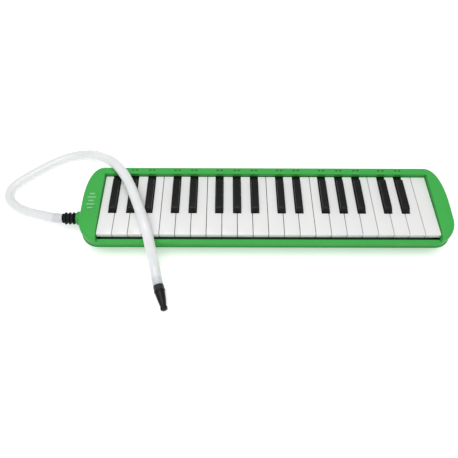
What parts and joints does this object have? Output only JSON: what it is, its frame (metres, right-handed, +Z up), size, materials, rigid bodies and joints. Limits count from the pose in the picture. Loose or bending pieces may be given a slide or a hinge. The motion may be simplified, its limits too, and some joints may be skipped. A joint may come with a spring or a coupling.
{
  "type": "melodica",
  "caption": "Breath-blown keyboard instrument with a shallow rounded case, a piano-style key row, a flexible blow hose with mouthpiece, and sprung keys that open reed holes.",
  "frame": {"origin": "on the table, at the middle of the flat base, under the middle of the keyboard", "axes": "+X towards the treble end, along the body; +Y towards the back, away from the player; +Z up"},
  "size_m": [0.5476, 0.2245, 0.0571],
  "materials": {
    "case_green": "satin moulded ABS, mid green",
    "key_white": "polished white",
    "key_black": "satin black",
    "chamber_grey": "moulded",
    "gasket_foam": "closed-cell foam",
    "reed_brass": "rolled sheet",
    "steel": "zinc plated",
    "felt_red": "pressed felt",
    "connector_black": "soft moulded rubber",
    "hose_milky": "milky translucent soft vinyl",
    "mouthpiece_black": "satin black"
  },
  "bodies": {
    "root": {"top_case": "case_green", "bottom_case": "case_green", "reed_chamber": "chamber_grey", "chamber_cover": "chamber_grey", "chamber_gasket": "gasket_foam", "reed_plate_bass": "reed_brass", "reed_plate_treble": "reed_brass", "pivot_rod": "steel", "spring_comb": "steel", "key_rest_felt": "felt_red", "blow_port": "case_green", "hose_connector": "connector_black", "hose": "hose_milky", "mouthpiece": "mouthpiece_black", "drain_spring": "steel", "cover_screw_1": "steel", "cover_screw_2": "steel", "case_screw_1": "steel", "case_screw_2": "steel", "case_screw_3": "steel", "case_screw_4": "steel"},
    "key_F3_lever": {"key_F3": "key_white"},
    "key_Fs3_lever": {"key_Fs3": "key_black"},
    "key_G3_lever": {"key_G3": "key_white"},
    "key_Gs3_lever": {"key_Gs3": "key_black"},
    "key_A3_lever": {"key_A3": "key_white"},
    "key_As3_lever": {"key_As3": "key_black"},
    "key_B3_lever": {"key_B3": "key_white"},
    "key_C4_lever": {"key_C4": "key_white"},
    "key_Cs4_lever": {"key_Cs4": "key_black"},
    "key_D4_lever": {"key_D4": "key_white"},
    "key_Ds4_lever": {"key_Ds4": "key_black"},
    "key_E4_lever": {"key_E4": "key_white"},
    "key_F4_lever": {"key_F4": "key_white"},
    "key_Fs4_lever": {"key_Fs4": "key_black"},
    "key_G4_lever": {"key_G4": "key_white"},
    "key_Gs4_lever": {"key_Gs4": "key_black"},
    "key_A4_lever": {"key_A4": "key_white"},
    "key_As4_lever": {"key_As4": "key_black"},
    "key_B4_lever": {"key_B4": "key_white"},
    "key_C5_lever": {"key_C5": "key_white"},
    "key_Cs5_lever": {"key_Cs5": "key_black"},
    "key_D5_lever": {"key_D5": "key_white"},
    "key_Ds5_lever": {"key_Ds5": "key_black"},
    "key_E5_lever": {"key_E5": "key_white"},
    "key_F5_lever": {"key_F5": "key_white"},
    "key_Fs5_lever": {"key_Fs5": "key_black"},
    "key_G5_lever": {"key_G5": "key_white"},
    "key_Gs5_lever": {"key_Gs5": "key_black"},
    "key_A5_lever": {"key_A5": "key_white"},
    "key_As5_lever": {"key_As5": "key_black"},
    "key_B5_lever": {"key_B5": "key_white"},
    "key_C6_lever": {"key_C6": "key_white"},
    "key_Cs6_lever": {"key_Cs6": "key_black"},
    "key_D6_lever": {"key_D6": "key_white"},
    "key_Ds6_lever": {"key_Ds6": "key_black"},
    "key_E6_lever": {"key_E6": "key_white"},
    "key_F6_lever": {"key_F6": "key_white"},
    "drain_valve": {"drain_button": "connector_black", "drain_seal": "connector_black"}
  },
  "joints": [
    {"name": "press_F3", "type": "hinge", "parent": "root", "child": "key_F3_lever", "pos_m": [-0.18992, 0.02, 0.0268], "axis": [1, 0, 0], "range_deg": [0, 3.5], "stiffness_Nm_per_rad": 0.25, "springref_deg": -6.88},
    {"name": "press_Fs3", "type": "hinge", "parent": "root", "child": "key_Fs3_lever", "pos_m": [-0.18019, 0.02, 0.0268], "axis": [1, 0, 0], "range_deg": [0, 3.5], "stiffness_Nm_per_rad": 0.25, "springref_deg": -6.88},
    {"name": "press_G3", "type": "hinge", "parent": "root", "child": "key_G3_lever", "pos_m": [-0.16974, 0.02, 0.0268], "axis": [1, 0, 0], "range_deg": [0, 3.5], "stiffness_Nm_per_rad": 0.25, "springref_deg": -6.88},
    {"name": "press_Gs3", "type": "hinge", "parent": "root", "child": "key_Gs3_lever", "pos_m": [-0.1593, 0.02, 0.0268], "axis": [1, 0, 0], "range_deg": [0, 3.5], "stiffness_Nm_per_rad": 0.25, "springref_deg": -6.88},
    {"name": "press_A3", "type": "hinge", "parent": "root", "child": "key_A3_lever", "pos_m": [-0.14886, 0.02, 0.0268], "axis": [1, 0, 0], "range_deg": [0, 3.5], "stiffness_Nm_per_rad": 0.25, "springref_deg": -6.88},
    {"name": "press_As3", "type": "hinge", "parent": "root", "child": "key_As3_lever", "pos_m": [-0.13841, 0.02, 0.0268], "axis": [1, 0, 0], "range_deg": [0, 3.5], "stiffness_Nm_per_rad": 0.25, "springref_deg": -6.88},
    {"name": "press_B3", "type": "hinge", "parent": "root", "child": "key_B3_lever", "pos_m": [-0.12868, 0.02, 0.0268], "axis": [1, 0, 0], "range_deg": [0, 3.5], "stiffness_Nm_per_rad": 0.25, "springref_deg": -6.88},
    {"name": "press_C4", "type": "hinge", "parent": "root", "child": "key_C4_lever", "pos_m": [-0.11823, 0.02, 0.0268], "axis": [1, 0, 0], "range_deg": [0, 3.5], "stiffness_Nm_per_rad": 0.25, "springref_deg": -6.88},
    {"name": "press_Cs4", "type": "hinge", "parent": "root", "child": "key_Cs4_lever", "pos_m": [-0.10762, 0.02, 0.0268], "axis": [1, 0, 0], "range_deg": [0, 3.5], "stiffness_Nm_per_rad": 0.25, "springref_deg": -6.88},
    {"name": "press_D4", "type": "hinge", "parent": "root", "child": "key_D4_lever", "pos_m": [-0.09735, 0.02, 0.0268], "axis": [1, 0, 0], "range_deg": [0, 3.5], "stiffness_Nm_per_rad": 0.25, "springref_deg": -6.88},
    {"name": "press_Ds4", "type": "hinge", "parent": "root", "child": "key_Ds4_lever", "pos_m": [-0.08708, 0.02, 0.0268], "axis": [1, 0, 0], "range_deg": [0, 3.5], "stiffness_Nm_per_rad": 0.25, "springref_deg": -6.88},
    {"name": "press_E4", "type": "hinge", "parent": "root", "child": "key_E4_lever", "pos_m": [-0.07647, 0.02, 0.0268], "axis": [1, 0, 0], "range_deg": [0, 3.5], "stiffness_Nm_per_rad": 0.25, "springref_deg": -6.88},
    {"name": "press_F4", "type": "hinge", "parent": "root", "child": "key_F4_lever", "pos_m": [-0.06602, 0.02, 0.0268], "axis": [1, 0, 0], "range_deg": [0, 3.5], "stiffness_Nm_per_rad": 0.25, "springref_deg": -6.88},
    {"name": "press_Fs4", "type": "hinge", "parent": "root", "child": "key_Fs4_lever", "pos_m": [-0.05629, 0.02, 0.0268], "axis": [1, 0, 0], "range_deg": [0, 3.5], "stiffness_Nm_per_rad": 0.25, "springref_deg": -6.88},
    {"name": "press_G4", "type": "hinge", "parent": "root", "child": "key_G4_lever", "pos_m": [-0.04584, 0.02, 0.0268], "axis": [1, 0, 0], "range_deg": [0, 3.5], "stiffness_Nm_per_rad": 0.25, "springref_deg": -6.88},
    {"name": "press_Gs4", "type": "hinge", "parent": "root", "child": "key_Gs4_lever", "pos_m": [-0.0354, 0.02, 0.0268], "axis": [1, 0, 0], "range_deg": [0, 3.5], "stiffness_Nm_per_rad": 0.25, "springref_deg": -6.88},
    {"name": "press_A4", "type": "hinge", "parent": "root", "child": "key_A4_lever", "pos_m": [-0.02496, 0.02, 0.0268], "axis": [1, 0, 0], "range_deg": [0, 3.5], "stiffness_Nm_per_rad": 0.25, "springref_deg": -6.88},
    {"name": "press_As4", "type": "hinge", "parent": "root", "child": "key_As4_lever", "pos_m": [-0.01451, 0.02, 0.0268], "axis": [1, 0, 0], "range_deg": [0, 3.5], "stiffness_Nm_per_rad": 0.25, "springref_deg": -6.88},
    {"name": "press_B4", "type": "hinge", "parent": "root", "child": "key_B4_lever", "pos_m": [-0.00478, 0.02, 0.0268], "axis": [1, 0, 0], "range_deg": [0, 3.5], "stiffness_Nm_per_rad": 0.25, "springref_deg": -6.88},
    {"name": "press_C5", "type": "hinge", "parent": "root", "child": "key_C5_lever", "pos_m": [0.00567, 0.02, 0.0268], "axis": [1, 0, 0], "range_deg": [0, 3.5], "stiffness_Nm_per_rad": 0.25, "springref_deg": -6.88},
    {"name": "press_Cs5", "type": "hinge", "parent": "root", "child": "key_Cs5_lever", "pos_m": [0.01628, 0.02, 0.0268], "axis": [1, 0, 0], "range_deg": [0, 3.5], "stiffness_Nm_per_rad": 0.25, "springref_deg": -6.88},
    {"name": "press_D5", "type": "hinge", "parent": "root", "child": "key_D5_lever", "pos_m": [0.02655, 0.02, 0.0268], "axis": [1, 0, 0], "range_deg": [0, 3.5], "stiffness_Nm_per_rad": 0.25, "springref_deg": -6.88},
    {"name": "press_Ds5", "type": "hinge", "parent": "root", "child": "key_Ds5_lever", "pos_m": [0.03682, 0.02, 0.0268], "axis": [1, 0, 0], "range_deg": [0, 3.5], "stiffness_Nm_per_rad": 0.25, "springref_deg": -6.88},
    {"name": "press_E5", "type": "hinge", "parent": "root", "child": "key_E5_lever", "pos_m": [0.04743, 0.02, 0.0268], "axis": [1, 0, 0], "range_deg": [0, 3.5], "stiffness_Nm_per_rad": 0.25, "springref_deg": -6.88},
    {"name": "press_F5", "type": "hinge", "parent": "root", "child": "key_F5_lever", "pos_m": [0.05788, 0.02, 0.0268], "axis": [1, 0, 0], "range_deg": [0, 3.5], "stiffness_Nm_per_rad": 0.25, "springref_deg": -6.88},
    {"name": "press_Fs5", "type": "hinge", "parent": "root", "child": "key_Fs5_lever", "pos_m": [0.06761, 0.02, 0.0268], "axis": [1, 0, 0], "range_deg": [0, 3.5], "stiffness_Nm_per_rad": 0.25, "springref_deg": -6.88},
    {"name": "press_G5", "type": "hinge", "parent": "root", "child": "key_G5_lever", "pos_m": [0.07806, 0.02, 0.0268], "axis": [1, 0, 0], "range_deg": [0, 3.5], "stiffness_Nm_per_rad": 0.25, "springref_deg": -6.88},
    {"name": "press_Gs5", "type": "hinge", "parent": "root", "child": "key_Gs5_lever", "pos_m": [0.0885, 0.02, 0.0268], "axis": [1, 0, 0], "range_deg": [0, 3.5], "stiffness_Nm_per_rad": 0.25, "springref_deg": -6.88},
    {"name": "press_A5", "type": "hinge", "parent": "root", "child": "key_A5_lever", "pos_m": [0.09894, 0.02, 0.0268], "axis": [1, 0, 0], "range_deg": [0, 3.5], "stiffness_Nm_per_rad": 0.25, "springref_deg": -6.88},
    {"name": "press_As5", "type": "hinge", "parent": "root", "child": "key_As5_lever", "pos_m": [0.10939, 0.02, 0.0268], "axis": [1, 0, 0], "range_deg": [0, 3.5], "stiffness_Nm_per_rad": 0.25, "springref_deg": -6.88},
    {"name": "press_B5", "type": "hinge", "parent": "root", "child": "key_B5_lever", "pos_m": [0.11912, 0.02, 0.0268], "axis": [1, 0, 0], "range_deg": [0, 3.5], "stiffness_Nm_per_rad": 0.25, "springref_deg": -6.88},
    {"name": "press_C6", "type": "hinge", "parent": "root", "child": "key_C6_lever", "pos_m": [0.12957, 0.02, 0.0268], "axis": [1, 0, 0], "range_deg": [0, 3.5], "stiffness_Nm_per_rad": 0.25, "springref_deg": -6.88},
    {"name": "press_Cs6", "type": "hinge", "parent": "root", "child": "key_Cs6_lever", "pos_m": [0.14018, 0.02, 0.0268], "axis": [1, 0, 0], "range_deg": [0, 3.5], "stiffness_Nm_per_rad": 0.25, "springref_deg": -6.88},
    {"name": "press_D6", "type": "hinge", "parent": "root", "child": "key_D6_lever", "pos_m": [0.15045, 0.02, 0.0268], "axis": [1, 0, 0], "range_deg": [0, 3.5], "stiffness_Nm_per_rad": 0.25, "springref_deg": -6.88},
    {"name": "press_Ds6", "type": "hinge", "parent": "root", "child": "key_Ds6_lever", "pos_m": [0.16072, 0.02, 0.0268], "axis": [1, 0, 0], "range_deg": [0, 3.5], "stiffness_Nm_per_rad": 0.25, "springref_deg": -6.88},
    {"name": "press_E6", "type": "hinge", "parent": "root", "child": "key_E6_lever", "pos_m": [0.17133, 0.02, 0.0268], "axis": [1, 0, 0], "range_deg": [0, 3.5], "stiffness_Nm_per_rad": 0.25, "springref_deg": -6.88},
    {"name": "press_F6", "type": "hinge", "parent": "root", "child": "key_F6_lever", "pos_m": [0.18585, 0.02, 0.0268], "axis": [1, 0, 0], "range_deg": [0, 3.5], "stiffness_Nm_per_rad": 0.25, "springref_deg": -6.88},
    {"name": "drain_press", "type": "slide", "parent": "root", "child": "drain_valve", "axis": [-1, 0, 0], "range_m": [0, 0.0028], "stiffness_N_per_m": 400, "springref_m": -0.004, "deforming": ["drain_spring"]}
  ]
}
